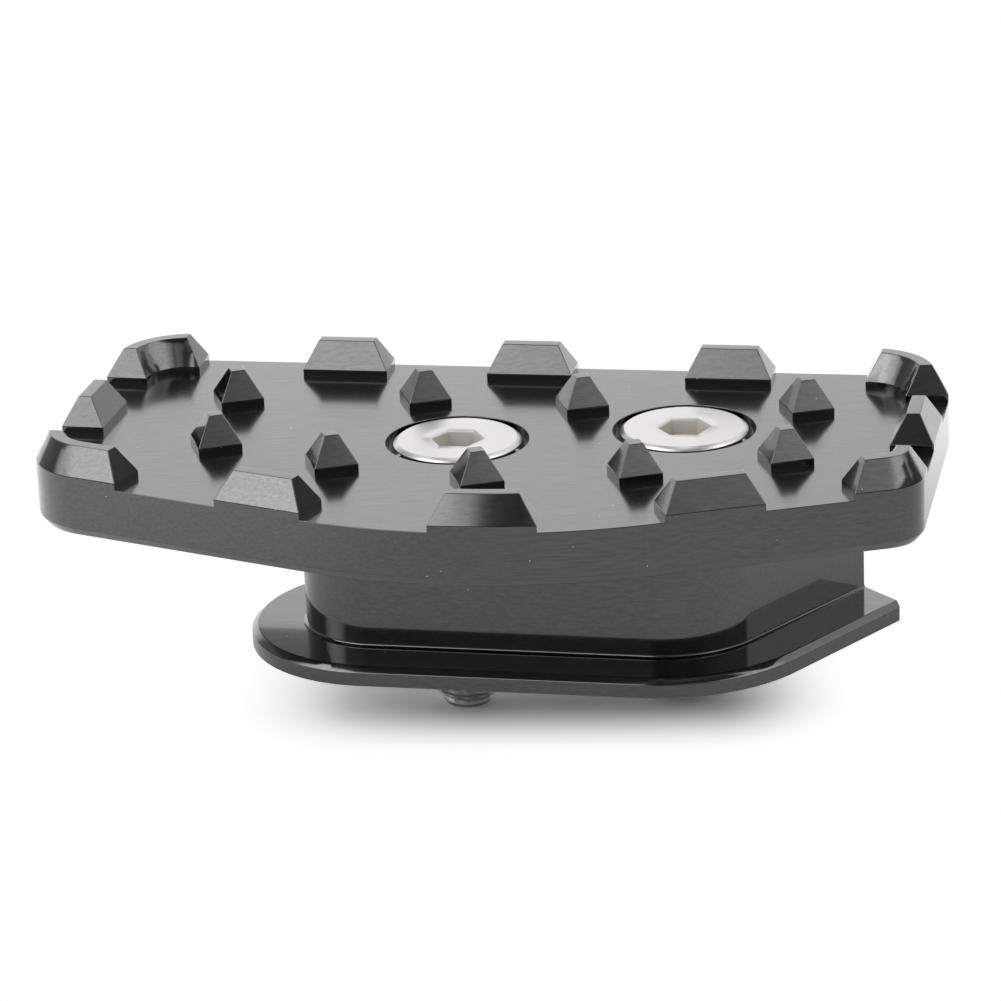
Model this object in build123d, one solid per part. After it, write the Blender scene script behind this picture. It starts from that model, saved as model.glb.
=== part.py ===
"""Brake pedal extension: a studded plate that two screws clamp to a pedal pad, with a bracket below.

Millimetres. +X runs along the line of the two screws, +Z is up, and the origin lies midway
between the screws on the underside of the plate, which is the joint with the bracket.
"""

import os
from math import cos, radians, sin

from build123d import *

# Plate outline: straight edges, anticlockwise from the front left. A heading is the direction
# an edge runs in, and a reach is its distance from the origin.
front_left_heading, front_left_reach = -31.1, 28.55
front_right_heading, front_right_reach = 10.1, 24.4
right_heading, right_reach = 76.4, 32.75
back_heading, back_reach = 167.25, 18.3
left_heading, left_reach = 255.1, 46.25
front_left_radius = 6.7
front_radius = 43.5
front_right_radius = 3.95
back_right_radius = 7.5
back_left_radius = 7.4
plate_thickness = 5.0
plate_chamfer = 0.8
plate_chamfer_inset = 0.63

# Studs
stud_height = 3.1
stud_riser = 0.6
stud_slope = 61.5
stud_side = 4.0
stud_turn = 11.9
rim_stud_width = 3.9
stud_centres = (
    (-29.9, 14.0), (-12.7, 11.2), (1.5, 7.2), (21.6, 3.3), (-31.8, 1.7),
    (-21.5, -5.2), (-8.9, -11.4), (4.9, -11.5), (18.3, -9.7),
)
# Rim studs on one edge: the distances of the stud's two ends from the corner where the edge
# starts, and how far the ends are turned from square to it, in degrees.
edge_studs = (
    ("front left", 19.9, 28.5, 0),
    ("front right", 17.8, 26.7, 0),
    ("right", 10.5, 18.2, 5),
    ("back", 16.7, 24.7, 0),
    ("back", 35.3, 43.3, 0),
    ("back", 52.8, 60.8, 0),
    ("left", 13.8, 21.3, 0),
)
# Rim studs round the tight corner where an edge starts: how far the stud reaches back along the
# edge before and forward along this one, and how far its first end is turned from square.
corner_studs = (
    ("front left", 5.1, 9.7, 0),
    ("right", 6.0, 4.8, 0),
    ("back", 7.0, 8.0, 8),
    ("left", 7.8, 7.4, 0),
)
# The rim stud on the wide front corner, by the headings of the outline at its two ends.
front_stud_start, front_stud_end = -14.9, -2.5

# Screws. The turns are those of the left and the right socket about their axes, in degrees.
screw_spacing = 20.4
screw_turns = (-12, -5)
screw_length = 25.4
screw_radius = 3.0
head_radius = 5.8
head_top_radius = 5.4
head_edge = 0.3
head_land = 0.1
head_proud = 0.2
point_length = 1.5
point_radius = 2.0
socket_flats = 4.0
socket_depth = 2.5
recess_radius = 6.45
recess_depth = 1.2
clearance_radius = 3.3

# Bracket
clamp_gap = 11.0
flange_thickness = 1.8
flange_width = 4.95
flange_chamfer = 0.55
wall_fillet = 0.3
tip_radius = 0.4
bracket_front_heading, bracket_front_reach = -13.9, 12.9
bracket_slant_heading, bracket_slant_reach = 45.5, 18.9
bracket_back_heading, bracket_back_reach = 180.0, 5.8
bracket_end_heading, bracket_end_reach = 123.3, 21.85
bracket_left_radius = 7.3
bracket_front_radius = 9.85

# Derived
stud_taper = 90 - stud_slope
least_radius = plate_chamfer / 8
far = 4 * left_reach
screw_places = [(-screw_spacing / 2, 0), (screw_spacing / 2, 0)]
cone_top = head_proud - head_edge - head_land
plate_edges = {
    "front left": (front_left_heading, front_left_reach, front_left_radius),
    "front right": (front_right_heading, front_right_reach, front_radius),
    "right": (right_heading, right_reach, front_right_radius),
    "back": (back_heading, back_reach, back_right_radius),
    "left": (left_heading, left_reach, back_left_radius),
}
bracket_edges = {
    "front": (bracket_front_heading, bracket_front_reach, bracket_left_radius),
    "slanted": (bracket_slant_heading, bracket_slant_reach, bracket_front_radius),
    "back": (bracket_back_heading, bracket_back_reach, 0),
}


def along(heading, length=1.0):
    """Vector of this length in the direction of a heading."""
    return Vector(length * cos(radians(heading)), length * sin(radians(heading)))


def outward(heading, length=1.0):
    """Vector of this length square to an edge, away from the inside of the outline."""
    return along(heading - 90, length)


def crossing(first, second, grow=0.0):
    """Point where two edges meet, once both have moved outward by grow."""
    a, b = radians(first[0]), radians(second[0])
    near, next_ = first[1] + grow, second[1] + grow
    turn = sin(b - a)
    return Vector((next_ * cos(a) - near * cos(b)) / turn, (next_ * sin(a) - near * sin(b)) / turn)


def corner(edges, name, grow=0.0):
    """Sharp corner where the named edge starts."""
    return crossing(edge_before(edges, name), edges[name], grow)


def edge_before(edges, name):
    """Edge that runs into the corner where the named edge starts."""
    names = list(edges)
    return edges[names[names.index(name) - 1]]


def outline(edges, grow=0.0):
    """Face inside the edges, with every edge moved outward by grow and every corner rounded."""
    corners = [corner(edges, name, grow) for name in edges]
    face = make_face(Polyline(*corners, close=True))
    for point, edge in zip(corners, edges.values()):
        if edge[2] > 0:
            sharp = face.vertices().sort_by_distance(point)[0]
            face = fillet(sharp, max(edge[2] + grow, least_radius))
    return face


def raised(face, riser, height, taper):
    """Solid over a face: an upright riser, and over it a part that tapers up to the height."""
    lower = extrude(face, riser)
    return lower + extrude(Pos(0, 0, riser) * face, height - riser, taper=taper)


def stud_shape(face):
    """Raised solid with the riser and the slopes that every stud has."""
    return raised(face, stud_riser, stud_height, stud_taper)


def edge_region(name, start, end, skew):
    """Face that takes the rim between two distances along one plate edge."""
    heading = plate_edges[name][0]
    origin = corner(plate_edges, name)
    low, high = origin + along(heading, start), origin + along(heading, end)
    margin = outward(heading + skew, 3 * rim_stud_width)
    return make_face(Polyline(low + margin, high + margin, high - margin, low - margin, close=True))


def corner_region(name, before, after, skew):
    """Face that takes the rim round one plate corner, between an end on each of its edges."""
    first, second = edge_before(plate_edges, name)[0], plate_edges[name][0]
    tip = corner(plate_edges, name)
    low, high = tip - along(first, before), tip + along(second, after)
    first_end, second_end = first + skew - 90, second - 90
    inner = crossing(
        (first_end, low.dot(along(first_end - 90))), (second_end, high.dot(along(second_end - 90)))
    )
    margin = 3 * rim_stud_width
    outer = corner(plate_edges, name, margin)
    return make_face(
        Polyline(
            inner, low + along(first_end, margin), outer, high + along(second_end, margin), close=True
        )
    )


def front_region():
    """Face that takes the rim on the wide front corner, its ends aimed at the corner's centre."""
    centre = corner(plate_edges, "front right", -front_radius)
    reach = 2 * front_radius
    ends = [centre + outward(heading, reach) for heading in (front_stud_start, front_stud_end)]
    return make_face(Polyline(centre, *ends, close=True))


def rim_ring():
    """Ridge all round the plate with the section of a rim stud."""
    outside = stud_shape(outline(plate_edges))
    inside = outline(plate_edges, -rim_stud_width)
    opening = raised(inside, stud_riser, stud_height, -stud_taper)
    return outside - opening


def rim_studs():
    """Studs along the edges and round the corners of the plate."""
    regions = [edge_region(*place) for place in edge_studs]
    regions += [corner_region(*place) for place in corner_studs] + [front_region()]
    ring = rim_ring()
    return [ring & stud_shape(region) for region in regions]


def inner_studs():
    """Square studs inside the rim, all turned the same way."""
    square = stud_shape(Rectangle(stud_side, stud_side).face())
    return [Pos(x, y) * Rot(0, 0, stud_turn) * square for x, y in stud_centres]


def turned(points):
    """Solid turned about +Z from the radius and height of each point of its profile."""
    face = make_face(Polyline(*[(radius, height) for radius, height in points], close=True))
    return revolve(Plane.XZ * face, Axis.Z)


def plate_hole():
    """Tool for a screw hole: recess, cone that seats the head, and clearance below."""
    seat_radius = head_radius - recess_depth - cone_top
    return turned(
        (
            (0, stud_height),
            (recess_radius, stud_height),
            (recess_radius, -recess_depth),
            (seat_radius, -recess_depth),
            (clearance_radius, cone_top - head_radius + clearance_radius),
            (clearance_radius, -2 * plate_thickness),
            (0, -2 * plate_thickness),
        )
    )


def top_plate():
    """Plate with its studs, its chamfered lower edge and its two screw holes."""
    slab = extrude(outline(plate_edges), plate_thickness)
    under = slab.faces().sort_by(Axis.Z)[0]
    slab = chamfer(under.edges(), plate_chamfer_inset, plate_chamfer, reference=under)
    studs = [Pos(0, 0, plate_thickness) * stud for stud in rim_studs() + inner_studs()]
    plate = slab + studs
    hole = plate_hole()
    return plate - [Pos(x, y, plate_thickness) * hole for x, y in screw_places]


def bracket():
    """Solid boss on a flange, tapped twice and cut off flat at the right."""
    depth = clamp_gap + flange_thickness
    boss = extrude(outline(bracket_edges), -depth)
    side = outline(bracket_edges, flange_width)
    straight = flange_thickness - flange_chamfer
    flange = extrude(Pos(0, 0, -depth) * side, straight)
    flange += extrude(Pos(0, 0, straight - depth) * side, flange_chamfer, taper=45)
    body = boss + flange
    ledge = body.faces().filter_by(Axis.Z).sort_by(Axis.Z)[-2]
    body = fillet(ledge.inner_wires()[0].edges(), wall_fillet)
    middle = outward(bracket_end_heading, bracket_end_reach + far / 2)
    body -= Pos(middle.X, middle.Y) * Rot(0, 0, bracket_end_heading) * Box(far, far, far)
    tip = body.edges().filter_by(Axis.Z).sort_by(Axis.X)[-1]
    body = fillet(tip, tip_radius)
    return body - [Pos(x, y) * Cylinder(screw_radius, 3 * depth) for x, y in screw_places]


def screw():
    """Countersunk screw with a hexagon socket and a tapered point, its axis on +Z."""
    top = plate_thickness + head_proud
    cone = plate_thickness + cone_top
    low = top - screw_length
    body = turned(
        (
            (0, top),
            (head_top_radius, top),
            (head_radius, top - head_edge),
            (head_radius, cone),
            (screw_radius, cone - head_radius + screw_radius),
            (screw_radius, low + point_length),
            (point_radius, low),
            (0, low),
        )
    )
    socket = RegularPolygon(socket_flats / 2, 6, major_radius=False)
    return body - extrude(Pos(0, 0, top) * socket, -socket_depth)


def main():
    """Write one file for each piece."""
    os.makedirs("parts", exist_ok=True)
    one_screw = screw()
    pieces = {"top_plate": top_plate(), "clamp_bracket": bracket()}
    for name, place, turn in zip(("screw_left", "screw_right"), screw_places, screw_turns):
        pieces[name] = Pos(*place) * Rot(0, 0, turn) * one_screw
    for name, piece in pieces.items():
        export_step(piece, f"parts/{name}.step")


if __name__ == "__main__":
    main()
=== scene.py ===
"""Studio view of the brake pedal extension.

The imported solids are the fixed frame. The studded plate and the bracket are shown as copies of
their solids with the sharp edges broken, and the screws are made again with their threads and
turned heads. Everything is in metres.
"""

import logging
from dataclasses import dataclass, field
from enum import Enum
from math import cos, pi, radians, sin

import bmesh
import bpy
import numpy as np
from mathutils import Matrix, Vector


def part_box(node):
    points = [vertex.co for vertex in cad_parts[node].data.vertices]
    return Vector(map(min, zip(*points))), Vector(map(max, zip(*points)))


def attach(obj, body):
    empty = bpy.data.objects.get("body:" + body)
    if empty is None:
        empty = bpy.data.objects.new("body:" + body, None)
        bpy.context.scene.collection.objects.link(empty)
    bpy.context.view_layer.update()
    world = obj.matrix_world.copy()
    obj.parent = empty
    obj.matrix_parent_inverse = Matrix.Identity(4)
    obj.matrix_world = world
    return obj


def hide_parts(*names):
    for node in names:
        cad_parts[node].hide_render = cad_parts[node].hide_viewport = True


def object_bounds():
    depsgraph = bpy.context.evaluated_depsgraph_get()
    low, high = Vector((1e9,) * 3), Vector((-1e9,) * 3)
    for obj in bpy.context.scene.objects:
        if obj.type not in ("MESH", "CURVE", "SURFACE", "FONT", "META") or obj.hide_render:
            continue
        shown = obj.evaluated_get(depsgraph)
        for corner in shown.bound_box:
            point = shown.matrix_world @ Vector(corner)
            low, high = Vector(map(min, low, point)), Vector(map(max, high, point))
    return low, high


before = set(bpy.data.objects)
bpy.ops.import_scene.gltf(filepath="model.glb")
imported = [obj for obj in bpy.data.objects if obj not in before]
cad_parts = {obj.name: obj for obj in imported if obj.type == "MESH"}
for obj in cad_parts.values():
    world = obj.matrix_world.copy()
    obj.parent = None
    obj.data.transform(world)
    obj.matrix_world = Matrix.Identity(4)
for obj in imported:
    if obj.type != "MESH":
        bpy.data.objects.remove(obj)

MM = 0.001
BODY = "root"
CAD_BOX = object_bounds()
NOISE_DETAIL = 3.0
Pair = tuple[float, float]
Triple = tuple[float, float, float]
log = logging.getLogger("pedal_extension")


class Slot(Enum):
    """Material slots of the record that the pieces take their finish from."""

    ANODISED = "black_anodised"
    STAINLESS = "stainless"


class Side(Enum):
    """The two screws, by the side of the plate that they stand on."""

    LEFT = "left"
    RIGHT = "right"


# Shader sheets ---------------------------------------------------------------------------------


@dataclass(frozen=True)
class Signal:
    """A socket of a shader sheet that takes part in ordinary arithmetic.

    Args:
        sheet: the sheet that the socket is on.
        socket: the output socket that carries the value.
    """

    sheet: "Sheet"
    socket: bpy.types.NodeSocket

    def maths(self, operation: str, *others: "Signal | float") -> "Signal":
        """Add one Math node with this as its first input.

        Args:
            operation: name of the Math node's operation.
            others: its other inputs in order.

        Returns:
            The node's result.
        """
        return self.sheet.maths(operation, self, *others)

    def __add__(self, other: "Signal | float") -> "Signal":
        """Sum of the two."""
        return self.maths("ADD", other)

    __radd__ = __add__

    def __sub__(self, other: "Signal | float") -> "Signal":
        """This less the other."""
        return self.maths("SUBTRACT", other)

    def __rsub__(self, other: "Signal | float") -> "Signal":
        """The other less this."""
        return self.sheet.maths("SUBTRACT", other, self)

    def __mul__(self, other: "Signal | float") -> "Signal":
        """Product of the two."""
        return self.maths("MULTIPLY", other)

    __rmul__ = __mul__

    def __truediv__(self, other: "Signal | float") -> "Signal":
        """This over the other."""
        return self.maths("DIVIDE", other)

    def __gt__(self, other: "Signal | float") -> "Signal":
        """One where this is the larger, and nought elsewhere."""
        return self.maths("GREATER_THAN", other)

    def to(self, low: float, high: float) -> "Signal":
        """Smooth step from nought to one while the value goes from low to high.

        Args:
            low: value at which the step begins.
            high: value at which it ends.

        Returns:
            The stepped value.
        """
        values = {"Value": self, "From Min": low, "From Max": high}
        return self.sheet.add("ShaderNodeMapRange", {"interpolation_type": "SMOOTHSTEP"}, values)

    def between(self, low: float, high: float, soft: float) -> "Signal":
        """One inside a band with soft ends, and nought outside.

        Args:
            low: middle of the rising end.
            high: middle of the falling end.
            soft: half the width of each end.

        Returns:
            The band's mask.
        """
        return self.to(low - soft, low + soft) * (1 - self.to(high - soft, high + soft))


class Sheet:
    """A node tree that is being drawn up."""

    def __init__(self, tree: bpy.types.NodeTree) -> None:
        """Take a tree and empty it.

        Args:
            tree: the material's or the world's node tree.
        """
        self.tree = tree
        tree.nodes.clear()

    def add(self, kind: str, settings: dict | None = None, values: dict | None = None,
            output: int | str = 0) -> Signal:
        """Add one node of any kind.

        Args:
            kind: the node's type.
            settings: its own settings, set first; a ramp takes its stops under "stops".
            values: values or signals for its input sockets, by name or number.
            output: the output socket to hand back.

        Returns:
            The chosen output.
        """
        node = self.tree.nodes.new(kind)
        for name, value in (settings or {}).items():
            if name == "stops":
                self.fill_ramp(node.color_ramp, value)
            else:
                setattr(node, name, value)
        for name, value in (values or {}).items():
            socket = node.inputs[name]
            if isinstance(value, Signal):
                self.tree.links.new(value.socket, socket)
            else:
                socket.default_value = value
        return Signal(self, node.outputs[output] if node.outputs else None)

    def maths(self, operation: str, *values: Signal | float) -> Signal:
        """Add one Math node.

        Args:
            operation: name of the Math node's operation.
            values: its inputs in order.

        Returns:
            The node's result.
        """
        return self.add("ShaderNodeMath", {"operation": operation}, dict(enumerate(values)))

    @staticmethod
    def fill_ramp(ramp: bpy.types.ColorRamp, stops: tuple[Pair, ...]) -> None:
        """Give a ramp its grey stops.

        Args:
            ramp: the ramp.
            stops: position and grey level of each stop, in order.
        """
        for position, _ in stops[1:-1]:
            ramp.elements.new(position)
        for element, (position, level) in zip(ramp.elements, stops):
            element.position = position
            element.color = (level, level, level, 1)

    def place(self, centre: Triple = (0, 0, 0)) -> Signal:
        """Object coordinates in millimetres.

        Args:
            centre: the point, in millimetres, that becomes the middle of the pattern.

        Returns:
            The coordinates as a vector.
        """
        where = self.add("ShaderNodeTexCoord", output="Object")
        values = {"Vector": where, "Location": tuple(-c for c in centre), "Scale": (1 / MM,) * 3}
        return self.add("ShaderNodeMapping", values=values)

    def split(self, vector: Signal) -> tuple[Signal, Signal, Signal]:
        """The three parts of a vector."""
        outputs = self.add("ShaderNodeSeparateXYZ", values={"Vector": vector}).socket.node.outputs
        return tuple(Signal(self, outputs[axis]) for axis in "XYZ")

    def rays(self) -> tuple[Signal, Signal, Signal]:
        """Whether the ray is one of the camera, of a reflection or of light passed through."""
        outputs = self.add("ShaderNodeLightPath").socket.node.outputs
        names = ("Is Camera Ray", "Is Glossy Ray", "Is Transmission Ray")
        return tuple(Signal(self, outputs[name]) for name in names)

    def stretch(self, vector: Signal, scale: Triple = (1, 1, 1), turn: float = 0.0) -> Signal:
        """A pattern's coordinates, scaled along each axis and then turned about Z.

        Args:
            vector: the coordinates.
            scale: factor along each axis.
            turn: turn about Z in degrees.

        Returns:
            The new coordinates.
        """
        values = {"Vector": vector, "Scale": scale, "Rotation": (0, 0, radians(turn))}
        return self.add("ShaderNodeMapping", values=values)

    def noise(self, vector: Signal, scale: float = 1.0, roughness: float = 0.5) -> Signal:
        """Fractal noise from nought to one.

        Args:
            vector: the coordinates.
            scale: cycles per unit of the coordinates.
            roughness: strength of each finer layer of the noise over the one before.

        Returns:
            The noise.
        """
        values = {"Vector": vector, "Scale": scale, "Detail": NOISE_DETAIL, "Roughness": roughness}
        return self.add("ShaderNodeTexNoise", values=values)

    def tint(self, factor: Signal, low: Triple, high: Triple) -> Signal:
        """Colour that goes from low to high with the factor."""
        # A Mix node takes its two colours at inputs 6 and 7 and gives their mix at output 2.
        values = {0: factor, 6: (*low, 1), 7: (*high, 1)}
        return self.add("ShaderNodeMix", {"data_type": "RGBA"}, values, output=2)

    def bump(self, height: Signal, distance: float) -> Signal:
        """Normal that a height gives.

        Args:
            height: the height, about nought to one.
            distance: what one unit stands for, in metres.

        Returns:
            The bumped normal.
        """
        return self.add("ShaderNodeBump", values={"Height": height, "Distance": distance})

    def blend(self, share: Signal, first: Signal, second: Signal) -> Signal:
        """Shader that goes from the first to the second with the share."""
        return self.add("ShaderNodeMixShader", values={0: share, 1: first, 2: second})


# Finishes --------------------------------------------------------------------------------------


class Finish:
    """What a piece is finished in."""

    def surface(self, sheet: Sheet) -> Signal:
        """Draw up the shader.

        Args:
            sheet: the material's empty sheet.

        Returns:
            The shader.
        """
        raise NotImplementedError

    def material(self, name: str) -> bpy.types.Material:
        """Make the material.

        Args:
            name: the material's name.

        Returns:
            The material.
        """
        made = bpy.data.materials.new(name)
        made.use_nodes = True
        sheet = Sheet(made.node_tree)
        sheet.add("ShaderNodeOutputMaterial", values={"Surface": self.surface(sheet)})
        return made


@dataclass(frozen=True)
class Anodising(Finish):
    """Glossy black anodised aluminium with the fine lines of the milling cutter under it.

    Patterns are measured in cycles per millimetre.

    Args:
        metal: reflectance of the dyed metal seen square on.
        coat_ior: refractive index of the sealed oxide skin.
        roughness: least roughness of the metal.
        coat_roughness: roughness of the oxide skin.
        line_scale: scale of the milling lines along each axis.
        line_depth: depth of the milling lines, in metres.
        line_haze: how much the lines add to the metal's roughness.
        grain_scale: scale of the fine grain.
        sharpness: strength of the finer layers in the lines and the grain.
        cloud_scale: scale of the soft clouding.
        cloud_haze: how much the clouding adds to the metal's roughness.
        cloud_height: height of the clouding as a share of the lines' height.
        floor_height: height of the plate's floor, which the cutter left hazier, in millimetres.
        floor_reach: distance above and below that height at which the haze ends.
        floor_soft: half the height in which it ends.
        floor_haze: roughness of the oxide skin there.
        contrast: how much the milling lines and the grain change the skin's shine.
        full_shine: value of their mean at which the skin keeps its full shine.
        tone: colour of what the metal and the dust give back.
        dust_level: how bright the dust is.
        dust_haze: how much the dust adds to the metal's roughness.
        dust_scale: scale of the cells that hold a speck of dust each.
        dust_radius: radius of a speck's full middle and of its outer edge, in cells.
        dust_rarity: share of the cells that stay clean.
    """

    metal: float = 0.062
    coat_ior: float = 1.75
    roughness: float = 0.08
    coat_roughness: float = 0.05
    line_scale: Triple = (0.25, 5.0, 5.0)
    line_depth: float = 0.0000012
    line_haze: float = 0.05
    grain_scale: float = 4.0
    sharpness: float = 0.7
    cloud_scale: float = 0.35
    cloud_haze: float = 0.03
    cloud_height: float = 0.5
    floor_height: float = 5.0
    floor_reach: float = 0.05
    floor_soft: float = 0.02
    floor_haze: float = 0.18
    contrast: float = 0.8
    full_shine: float = 0.57
    tone: Triple = (1.0, 0.99, 0.97)
    dust_level: float = 0.5
    dust_haze: float = 0.3
    dust_scale: float = 0.8
    dust_radius: Pair = (0.03, 0.06)
    dust_rarity: float = 0.86

    def surface(self, sheet: Sheet) -> Signal:
        """Draw up the shader: a clear skin on the metal, and a hazy one on the plate's floor.

        Args:
            sheet: the material's empty sheet.

        Returns:
            The shader.
        """
        spot = sheet.place()
        lines = sheet.noise(sheet.stretch(spot, self.line_scale), roughness=self.sharpness)
        grain = sheet.noise(spot, self.grain_scale, self.sharpness)
        cloud = sheet.noise(spot, self.cloud_scale)
        dust = self.dust(sheet, spot)
        level = self.metal * (0.5 + lines) + self.dust_level * dust
        haze = self.line_haze * lines + self.cloud_haze * cloud + self.dust_haze * dust
        values = {
            "Base Color": sheet.tint(level, (0, 0, 0), self.tone),
            "Metallic": 1.0,
            "Roughness": self.roughness + haze,
            "Normal": sheet.bump(lines + self.cloud_height * cloud, self.line_depth),
            "Coat Weight": 1 + self.contrast * (0.5 * lines + 0.5 * grain - self.full_shine),
            "Coat IOR": self.coat_ior,
            "Coat Roughness": self.coat_roughness,
        }
        clear = sheet.add("ShaderNodeBsdfPrincipled", values=values)
        values["Coat Roughness"] = self.floor_haze
        hazy = sheet.add("ShaderNodeBsdfPrincipled", values=values)
        _, _, up = sheet.split(spot)
        low, high = self.floor_height - self.floor_reach, self.floor_height + self.floor_reach
        return sheet.blend(up.between(low, high, self.floor_soft), clear, hazy)

    def dust(self, sheet: Sheet, spot: Signal) -> Signal:
        """Mask of scattered specks of dust: round dots at random cell centres, few of them kept.

        Args:
            sheet: the material's sheet.
            spot: the place on the piece.

        Returns:
            The mask.
        """
        values = {"Vector": spot, "Scale": self.dust_scale}
        cells = sheet.add("ShaderNodeTexVoronoi", {"feature": "F1"}, values)
        draw, _, _ = sheet.split(Signal(sheet, cells.socket.node.outputs["Color"]))
        return (1 - cells.to(*self.dust_radius)) * (draw > self.dust_rarity)


@dataclass(frozen=True)
class TurnedSteel(Finish):
    """Bright stainless steel with turning marks round the screw's axis and grime in its socket.

    Args:
        centre: the screw's axis at the head, in millimetres.
        colour: reflectance of the clean steel.
        roughness: least roughness of the steel.
        mark_scale: turning marks per millimetre outwards, round the axis and along it.
        mark_depth: depth of the turning marks, in metres.
        mark_haze: how much they add to the roughness.
        sharpness: strength of the finer layers in the turning marks.
        cloud_scale: cycles of the soft clouding per millimetre.
        cloud_height: height of the clouding as a share of the marks' height.
        grime: reflectance inside the socket.
        grime_cover: how much of the socket the grime covers where the clouding is nought and one.
        grime_haze: how much the grime adds to the roughness.
        grime_dulling: how much less metallic the inside of the socket is.
        socket_radius: distance from the axis at which the grime ends, in millimetres.
        socket_fade: width in which it ends.
        socket_reach: heights over the top of the head between which the grime lies.
        socket_soft: half the height in which it ends.
    """

    centre: Triple
    colour: Triple = (0.78, 0.77, 0.75)
    roughness: float = 0.28
    mark_scale: Triple = (14.0, 1.0, 14.0)
    mark_depth: float = 0.000002
    mark_haze: float = 0.08
    sharpness: float = 0.6
    cloud_scale: float = 0.9
    cloud_height: float = 0.4
    grime: Triple = (0.6, 0.565, 0.52)
    grime_cover: Pair = (0.75, 1.25)
    grime_haze: float = 0.1
    grime_dulling: float = 0.8
    socket_radius: float = 2.5
    socket_fade: float = 0.12
    socket_reach: Pair = (-3.2, -0.12)
    socket_soft: float = 0.06

    def surface(self, sheet: Sheet) -> Signal:
        """Draw up the shader: noise over distance from the axis and height makes the marks.

        Args:
            sheet: the material's empty sheet.

        Returns:
            The shader.
        """
        spot = sheet.place(self.centre)
        across, along, up = sheet.split(spot)
        radius = (across * across + along * along).maths("SQRT")
        rings = sheet.add("ShaderNodeCombineXYZ", values={"X": radius, "Z": up})
        marks = sheet.noise(sheet.stretch(rings, self.mark_scale), roughness=self.sharpness)
        cloud = sheet.noise(spot, self.cloud_scale)
        clean = radius.to(self.socket_radius - self.socket_fade, self.socket_radius)
        inside = (1 - clean) * up.between(*self.socket_reach, self.socket_soft)
        least, most = self.grime_cover
        soiled = inside * (least + (most - least) * cloud)
        values = {
            "Base Color": sheet.tint(soiled, self.colour, self.grime),
            "Metallic": 1 - self.grime_dulling * inside,
            "Roughness": self.roughness + self.mark_haze * marks + self.grime_haze * soiled,
            "Normal": sheet.bump(marks + self.cloud_height * cloud, self.mark_depth),
        }
        return sheet.add("ShaderNodeBsdfPrincipled", values=values)


@dataclass(frozen=True)
class PaleFloor(Finish):
    """Matt white table top that turns to plain white round the part's shadow.

    Args:
        colour: how much light it gives back to the part.
        seen_colour: how pale the camera sees it in the shadow.
        shade_centre: middle of the shaded patch under the part, in millimetres.
        shade_half: half the width and half the depth of the patch.
        shade_turn: turn of the patch, clockwise seen from above, in degrees.
        shade_fade: width of the band round the patch in which the table turns white.
        behind: distances behind the patch's middle between which reflections turn to that white.
        beside: distances left of the patch's middle between which they do.
    """

    colour: float = 0.75
    seen_colour: float = 1.65
    shade_centre: Triple = (-2.25, 14.3, 0)
    shade_half: Pair = (16.25, 15.7)
    shade_turn: float = 5.0
    shade_fade: float = 13.0
    behind: Pair = (25.0, 65.0)
    beside: Pair = (30.0, 110.0)

    def surface(self, sheet: Sheet) -> Signal:
        """Draw up the shader: matt on the patch, and white by the distance from the patch.

        Args:
            sheet: the material's empty sheet.

        Returns:
            The shader.
        """
        given = sheet.add("ShaderNodeBsdfDiffuse", values={"Color": (self.colour,) * 3 + (1,)})
        seen = sheet.add("ShaderNodeBsdfDiffuse", values={"Color": (self.seen_colour,) * 3 + (1,)})
        white = sheet.add("ShaderNodeEmission", values={"Strength": 1.0})
        camera, glossy, passed = sheet.rays()
        turned = sheet.stretch(sheet.place(self.shade_centre), turn=self.shade_turn)
        across, along, _ = sheet.split(turned)
        wide, deep = [
            (part.maths("ABSOLUTE") - half).maths("MAXIMUM", 0.0)
            for part, half in zip((across, along), self.shade_half)
        ]
        away = (wide * wide + deep * deep).maths("SQRT")
        mirrored = along.to(*self.behind).maths("MAXIMUM", (0 - across).to(*self.beside))
        share = away.to(0, self.shade_fade) * (camera + mirrored * (glossy + passed))
        return sheet.blend(share, sheet.blend(camera, given, seen), white)


# Meshes ----------------------------------------------------------------------------------------


def mesh_object(name: str, points: np.ndarray, faces: list) -> bpy.types.Object:
    """Make a smooth-shaded object.

    Args:
        name: the piece's name.
        points: one row of three metres for each point.
        faces: the point numbers of each face.

    Returns:
        The object, linked into the scene.
    """
    mesh = bpy.data.meshes.new(name)
    mesh.from_pydata(points.tolist(), [], faces)
    mesh.validate()
    mesh.update()
    mesh.shade_smooth()
    made = bpy.data.objects.new(name, mesh)
    bpy.context.scene.collection.objects.link(made)
    return made


def turned_faces(rings: int, steps: int) -> list:
    """Faces of a closed turned surface: quads between neighbouring rings, and a fan at each pole.

    The points are the first pole, then the rings one after another, then the last pole.

    Args:
        rings: number of rings.
        steps: points in each ring.

    Returns:
        The faces as point numbers.
    """
    here = np.arange(steps)
    after = (here + 1) % steps
    start = 1 + steps * np.arange(rings - 1)[:, None]
    beyond = start + steps
    quads = np.stack([start + here, beyond + here, beyond + after, start + after], axis=-1)
    last = 1 + rings * steps
    first_fan = np.stack([np.zeros_like(here), 1 + here, 1 + after], axis=-1)
    last_ring = last - steps
    last_fan = np.stack([np.full_like(here, last), last_ring + after, last_ring + here], axis=-1)
    return quads.reshape(-1, 4).tolist() + first_fan.tolist() + last_fan.tolist()


# Sub-assemblies --------------------------------------------------------------------------------


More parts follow.
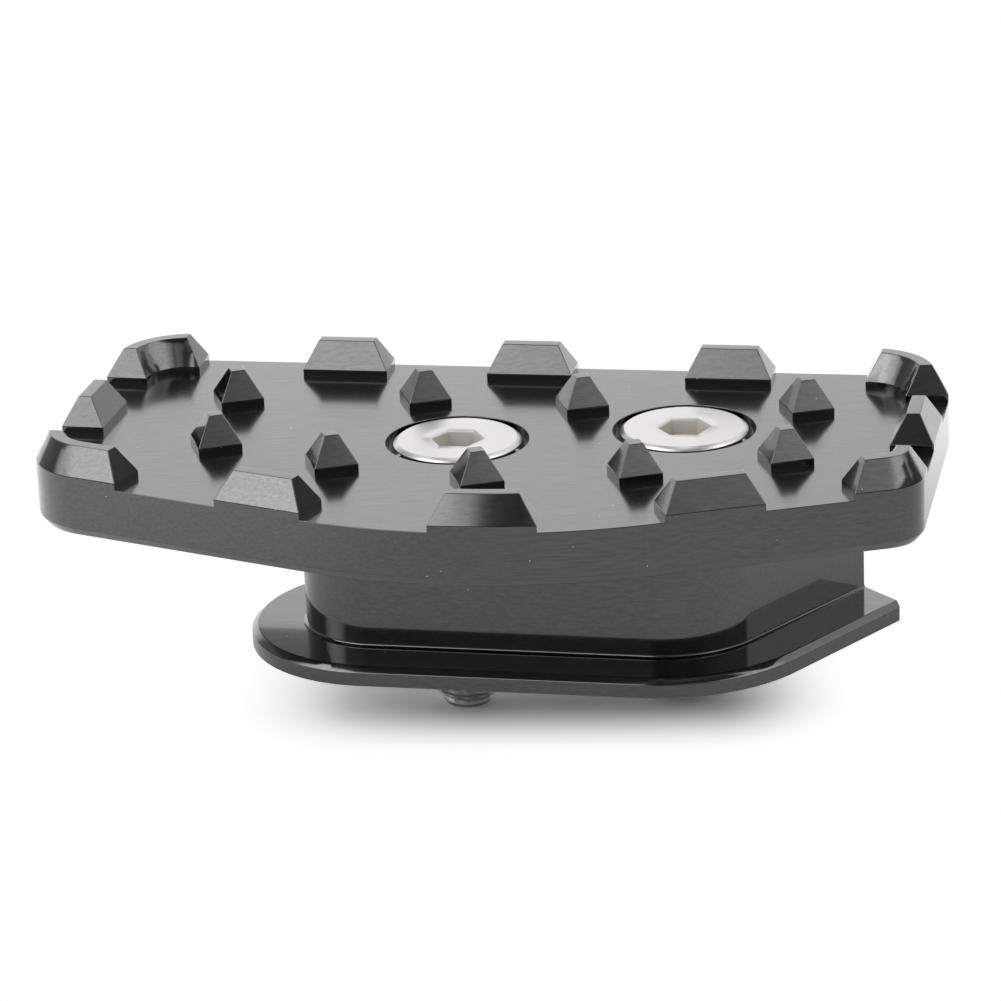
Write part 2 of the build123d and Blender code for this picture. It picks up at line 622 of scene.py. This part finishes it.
@dataclass
class MilledPart:
    """A milled solid with its sharp outer edges broken.

    Args:
        node: the CAD node that it stands for.
        name: the name of the shown piece.
        finish: what it is finished in.
        break_width: width of the broken edges, in metres.
        break_steps: facets across a broken edge.
        sharp_angle: least angle between two faces whose outer edge is broken, in degrees.
        flat_angle: largest angle between two facets that are one flat face, in degrees.
        same_point: distance under which two points are one, in metres.
    """

    node: str
    name: str
    finish: Anodising
    break_width: float = 0.07 * MM
    break_steps: int = 2
    sharp_angle: float = 16.0
    flat_angle: float = 0.3
    same_point: float = 0.0005 * MM

    def build(self) -> bpy.types.Object:
        """Copy the solid's mesh, break its edges, let its flat faces rule the shading and dress it.

        Returns:
            The finished piece.
        """
        mesh = self.merged(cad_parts[self.node].data)
        made = bpy.data.objects.new(self.name, mesh)
        bpy.context.scene.collection.objects.link(made)
        shading = made.modifiers.new("flat faces", "WEIGHTED_NORMAL")
        shading.mode = "FACE_AREA"
        shading.weight = 100
        shading.keep_sharp = True
        mesh.materials.clear()
        mesh.materials.append(self.finish.material(f"{self.name}_{Slot.ANODISED.value}"))
        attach(made, BODY)
        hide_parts(self.node)
        return made

    def merged(self, source: bpy.types.Mesh) -> bpy.types.Mesh:
        """Copy of a mesh of loose triangles with its points joined, its flat faces whole and its
        outer edges broken.

        Args:
            source: the CAD node's mesh, which stays as it is.

        Returns:
            The new mesh.
        """
        work = bmesh.new()
        work.from_mesh(source)
        bmesh.ops.remove_doubles(work, verts=work.verts, dist=self.same_point)
        bmesh.ops.dissolve_limit(
            work, angle_limit=radians(self.flat_angle), verts=work.verts, edges=work.edges
        )
        outer = [edge for edge in self.sharp_edges(work) if edge.is_convex]
        bmesh.ops.bevel(
            work, geom=outer, offset=self.break_width, offset_type="OFFSET",
            segments=self.break_steps, profile=0.5, affect="EDGES", clamp_overlap=False,
            loop_slide=True, miter_outer="SHARP"
        )
        work.normal_update()
        for face in work.faces:
            face.smooth = True
        for edge in self.sharp_edges(work):
            edge.smooth = edge.is_convex
        mesh = bpy.data.meshes.new(self.name)
        work.to_mesh(mesh)
        work.free()
        return mesh

    def sharp_edges(self, work: bmesh.types.BMesh) -> list:
        """Edges whose two faces meet at more than the sharp angle."""
        least = radians(self.sharp_angle)
        return [edge for edge in work.edges if edge.is_manifold and edge.calc_face_angle() > least]


@dataclass
class CountersunkScrew:
    """A countersunk screw with a hexagon socket and its thread.

    Args:
        side: which of the two screws it is.
        turn: turn of the socket about the screw's axis, in degrees.
        rim_width: width of the sloped rim of the head, in metres.
        rim_height: height of the sloped rim.
        land: height of the upright band under the rim.
        bore: radius of the shank.
        flats: distance across the flats of the socket.
        socket_edge: width of the broken edge round the socket.
        socket_depth: depth of the socket's walls.
        cone_depth: further depth at the middle of the socket.
        rounding: size of the small roundings of head and socket.
        crest_gap: how far the crests of the thread lie inside the bore.
        neck: length without thread under the head.
        run_out: length in which the thread reaches its full depth.
        point_length: length of the tapered point.
        point_narrowing: how much narrower the point is at its end.
        end_rounding: size of the rounding at the end of the point.
        pitch: distance between neighbouring threads.
        pitch_rings: rings of points in one pitch.
        thread_depth: depth of the thread.
        flank: steepness of the thread's flanks, in depths per pitch.
        crest: how far the wave of the thread is cut off flat at its crests, in depths.
        steps: points round the axis.
        crisp_angle: least angle between two facets that meet in a sharp edge, in degrees.
    """

    side: Side
    turn: float
    rim_width: float = 0.4 * MM
    rim_height: float = 0.3 * MM
    land: float = 0.1 * MM
    bore: float = 3.0 * MM
    flats: float = 4.0 * MM
    socket_edge: float = 0.19 * MM
    socket_depth: float = 2.4 * MM
    cone_depth: float = 0.1 * MM
    rounding: float = 0.02 * MM
    crest_gap: float = 0.03 * MM
    neck: float = 0.5 * MM
    run_out: float = 1.0 * MM
    point_length: float = 1.5 * MM
    point_narrowing: float = 1.0 * MM
    end_rounding: float = 0.05 * MM
    pitch: float = 1.0 * MM
    pitch_rings: int = 12
    thread_depth: float = 0.5 * MM
    flank: float = 2.6
    crest: float = 0.15
    steps: int = 96
    crisp_angle: float = 35.0
    low: Vector = field(init=False)
    high: Vector = field(init=False)

    def __post_init__(self) -> None:
        """Take the screw's place and size from its solid."""
        self.low, self.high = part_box(self.node)

    @property
    def node(self) -> str:
        """Name of the CAD node."""
        return f"screw_{self.side.value}"

    @property
    def axis(self) -> Vector:
        """The screw's axis at the top of its head."""
        middle = (self.low + self.high) / 2
        return Vector((middle.x, middle.y, self.high.z))

    def build(self) -> bpy.types.Object:
        """Make the screw and dress it.

        Returns:
            The finished piece.
        """
        made = mesh_object(f"threaded_screw_{self.side.value}", *self.surface())
        steel = TurnedSteel(tuple(c / MM for c in self.axis))
        made.data.materials.append(steel.material(f"{made.name}_{Slot.STAINLESS.value}"))
        made.data.set_sharp_from_angle(angle=radians(self.crisp_angle))
        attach(made, BODY)
        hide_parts(self.node)
        return made

    def surface(self) -> tuple[np.ndarray, list]:
        """Points and faces of the whole screw as one turned surface, six-sided in its socket and
        threaded on its shank.

        The radius at a height and an angle is the radius of the profile there. In the socket the
        circle gives way to a hexagon, whose radius is half its flats over the cosine of the angle
        from the middle of the nearest flat, and whose corners lie on points of the rings. On the
        shank it is lessened by the thread's depth times a wave, cut off flat at its crests and
        grooves, of the height in pitches less the angle in turns.

        Returns:
            The points, one row each, and the faces.
        """
        radius, height, hexed, threaded = self.profile()
        turned = np.linspace(0, 2 * pi, self.steps, endpoint=False)
        angle = turned + radians(self.turn)
        from_flat = turned % (pi / 3) - pi / 6
        hexagon = 1 / np.cos(from_flat)
        shape = 1 + hexed[:, None] * (hexagon - 1)
        phase = (height[:, None] / self.pitch - angle / (2 * pi)) % 1
        wave = np.clip(self.flank * np.abs(phase - 0.5) - self.crest, 0, 1)
        ring = radius[:, None] * shape - threaded[:, None] * self.thread_depth * wave
        x = self.axis.x + ring * np.cos(angle)
        y = self.axis.y + ring * np.sin(angle)
        z = self.high.z - np.broadcast_to(height[:, None], ring.shape)
        rings = np.stack([x, y, z], axis=-1).reshape(-1, 3)
        top = [self.axis.x, self.axis.y, self.high.z - height[0]]
        bottom = [self.axis.x, self.axis.y, self.low.z]
        points = np.vstack([top, rings, bottom])
        return points, turned_faces(len(radius), self.steps)

    def profile(self) -> tuple[np.ndarray, np.ndarray, np.ndarray, np.ndarray]:
        """Section of the screw from the middle of the socket, over the head, to the point.

        Returns:
            Radius, depth below the head, share of the hexagon and share of the thread of each ring.
        """
        head, length = (self.high.x - self.low.x) / 2, self.high.z - self.low.z
        half, depth, edge = self.flats / 2, self.socket_depth, self.socket_edge
        top, rim, soft = head - self.rim_width, self.rim_height, self.rounding
        socket = [
            (half * 0.08, depth + self.cone_depth),
            (half * 0.5, depth + self.cone_depth * 0.5),
            (half - soft, depth),
            (half, depth - soft),
            (half, depth * 0.5),
            (half, edge + soft),
            (half + soft, edge - soft),
            (half + edge - soft, soft),
            (half + edge + soft, 0.0),
        ]
        rows = [(radius, below, 1, 0) for radius, below in socket]
        rows += [(half + (top - soft - half) * share, 0.0, 0, 0) for share in (0.4, 0.7, 0.97, 1.0)]
        rows += [
            (top + soft, soft, 0, 0),
            (head - soft, rim - soft, 0, 0),
            (head, rim + soft, 0, 0),
            (head, rim + self.land, 0, 0),
        ]
        under = rim + self.land + head - self.bore
        crest = self.bore - self.crest_gap
        rows += [(self.bore, under, 0, 0), (crest, under + 2 * soft, 0, 0)]
        first, last = under + 5 * soft, length - self.end_rounding
        shank = np.arange(first, last, self.pitch / self.pitch_rings)
        point = length - self.point_length
        narrowing = np.clip((shank - point) / self.point_length, 0, 1)
        deepening = np.clip((shank - under - self.neck) / self.run_out, 0, 1)
        fade = deepening * (1 - narrowing**3)
        rows += [
            (crest - self.point_narrowing * narrow, below, 0, share)
            for below, narrow, share in zip(shank.tolist(), narrowing.tolist(), fade.tolist())
        ]
        end = self.bore - self.point_narrowing
        rows += [(end - self.end_rounding, length, 0, 0), (end * 0.5, length, 0, 0)]
        return tuple(np.array(rows).T)


@dataclass(frozen=True)
class LightRing:
    """Light that comes from all round in one band of heights.

    Args:
        start: height at which it begins to take over from the ring below, in degrees.
        end: height from which it holds alone.
        levels: level at each of some headings, in degrees from the camera's side, anticlockwise
            seen from above.
    """

    start: float
    end: float
    levels: tuple[Pair, ...]

    def level(self, sheet: Sheet, heading: Signal) -> Signal:
        """Level of light at a heading.

        Args:
            sheet: the world's sheet.
            heading: heading from nought to one, with the camera's side in the middle.

        Returns:
            The level.
        """
        peak = max(level for _, level in self.levels)
        stops = tuple((degrees / 360 + 0.5, level / peak) for degrees, level in self.levels)
        return sheet.add("ShaderNodeValToRGB", {"stops": stops}, {"Fac": heading}) * peak


@dataclass
class Studio:
    """Camera, table top and the light round the part.

    Args:
        eye: place of the camera in metres.
        target: point that it looks at.
        roll: turn of the camera about its own axis, in degrees.
        lens: focal length on a 36 mm sensor.
        sensor: width of the sensor in millimetres.
        nearest: distance from which the camera sees, in metres.
        floor_half: half the side of the table top, in metres.
        floor: what the table top is made of.
        ground: light from below and from near the level of the table.
        rings: light above that, from low to high.
    """

    eye: Triple = (-0.01874, -0.37165, 0.13645)
    target: Triple = (-0.00708, -0.01621, 0.005)
    roll: float = -2.23
    lens: float = 158.2
    sensor: float = 36.0
    nearest: float = 0.01
    floor_half: float = 3.0
    floor: PaleFloor = PaleFloor()
    ground: LightRing = LightRing(-90, -90, (
        (-180, 1.35), (-148, 1.4), (-142, 1.0), (-137, 0.4), (-100, 0.35), (-60, 0.25), (0, 0.15),
        (90, 0.2), (124, 0.2), (138, 0.9), (180, 1.35),
    ))
    rings: tuple[LightRing, ...] = (
        LightRing(14, 19, (
            (-180, 1.35), (-148, 1.05), (-142, 0.7), (-137, 0.35), (-102, 0.35), (-95, 1.8),
            (-86, 2.6), (-74, 2.4), (-62, 0.3), (-30, 0.16), (34, 0.16), (80, 0.3), (88, 0.25),
            (92, 1.3), (102, 1.2), (109, 0.4), (122, 0.5), (138, 0.95), (180, 1.35),
        )),
        LightRing(23, 27, (
            (-180, 1.35), (-146, 1.05), (-139, 0.4), (-99, 0.4), (-93, 1.3), (-88, 2.9),
            (-76, 3.5), (-66, 4.2), (-56, 4.9), (-46, 4.4), (-38, 3.3), (-26, 3.1), (-23, 2.5),
            (-20, 2.1), (-17, 0.7), (-15, 0.27), (-6, 0.17), (1, 0.5), (12, 0.85), (18, 0.85),
            (23, 0.52), (28, 0.95), (36, 1.6), (50, 2.5), (70, 2.6), (88, 2.3), (96, 1.3),
            (125, 1.0), (180, 1.35),
        )),
        LightRing(45, 51, (
            (-180, 1.0), (-100, 1.0), (-88, 3.4), (-42, 3.4), (-26, 0.3), (-20, 0.12),
            (62, 0.14), (72, 2.2), (88, 2.2), (100, 1.0), (180, 1.0),
        )),
        LightRing(60, 66, ((-180, 0.25), (180, 0.25))),
        LightRing(79, 84, ((-180, 2.2), (180, 2.2))),
    )

    def build(self) -> None:
        """Set up everything round the part."""
        self.add_camera()
        self.add_floor()
        self.add_surround()
        bpy.context.scene.view_settings.view_transform = "Standard"

    def add_camera(self) -> None:
        """Aim the camera as the photograph was taken."""
        eye, target = Vector(self.eye), Vector(self.target)
        forward = (target - eye).normalized()
        level = forward.cross(Vector((0, 0, 1))).normalized()
        upright = level.cross(forward)
        turn = radians(self.roll)
        right = cos(turn) * level + sin(turn) * upright
        up = cos(turn) * upright - sin(turn) * level
        pose = Matrix((right, up, -forward)).transposed().to_4x4()
        pose.translation = eye
        lens = bpy.data.cameras.new("camera")
        lens.lens = self.lens
        lens.sensor_width = self.sensor
        lens.clip_start = self.nearest
        camera = bpy.data.objects.new("camera", lens)
        camera.matrix_world = pose
        bpy.context.scene.collection.objects.link(camera)
        bpy.context.scene.camera = camera

    def add_floor(self) -> None:
        """Lay the table top under the points of the screws."""
        low = CAD_BOX[0][2]
        sides = ((-1, -1), (1, -1), (1, 1), (-1, 1))
        corners = np.array([(x * self.floor_half, y * self.floor_half, low) for x, y in sides])
        table = mesh_object("table_top", corners, [[0, 1, 2, 3]])
        table.data.materials.append(self.floor.material("pale_table"))

    def add_surround(self) -> None:
        """Light the part from all round: white for the camera, and for light and reflections a
        level that is read from the rings by the heading and mixed by the height of the ray."""
        world = bpy.data.worlds.new("surround")
        world.use_nodes = True
        bpy.context.scene.world = world
        sheet = Sheet(world.node_tree)
        x, y, z = sheet.split(sheet.add("ShaderNodeTexCoord", output="Generated"))
        heading = x.maths("ARCTAN2", 0 - y) / (2 * pi) + 0.5
        height = z.maths("ARCSINE") * (180 / pi)
        level = self.ground.level(sheet, heading)
        for ring in self.rings:
            share = height.to(ring.start, ring.end)
            level = level + share * (ring.level(sheet, heading) - level)
        camera, _, passed = sheet.rays()
        strength = level + (camera + passed) * (1 - level)
        light = sheet.add("ShaderNodeBackground", values={"Strength": strength})
        sheet.add("ShaderNodeOutputWorld", values={"Surface": light})


# Making ----------------------------------------------------------------------------------------


def report(piece: bpy.types.Object) -> None:
    """Log the number of faces in one piece."""
    log.info("%s: %d faces", piece.name, len(piece.data.polygons))


def main() -> None:
    """Build the studio and the pieces in order."""
    logging.basicConfig(level=logging.INFO)
    Studio().build()
    anodising = Anodising()
    pieces = [
        MilledPart("top_plate", "studded_plate", anodising),
        MilledPart("clamp_bracket", "flanged_bracket", anodising),
        CountersunkScrew(Side.LEFT, -12.0),
        CountersunkScrew(Side.RIGHT, -5.0),
    ]
    for piece in pieces:
        report(piece.build())


if __name__ == "__main__":
    main()
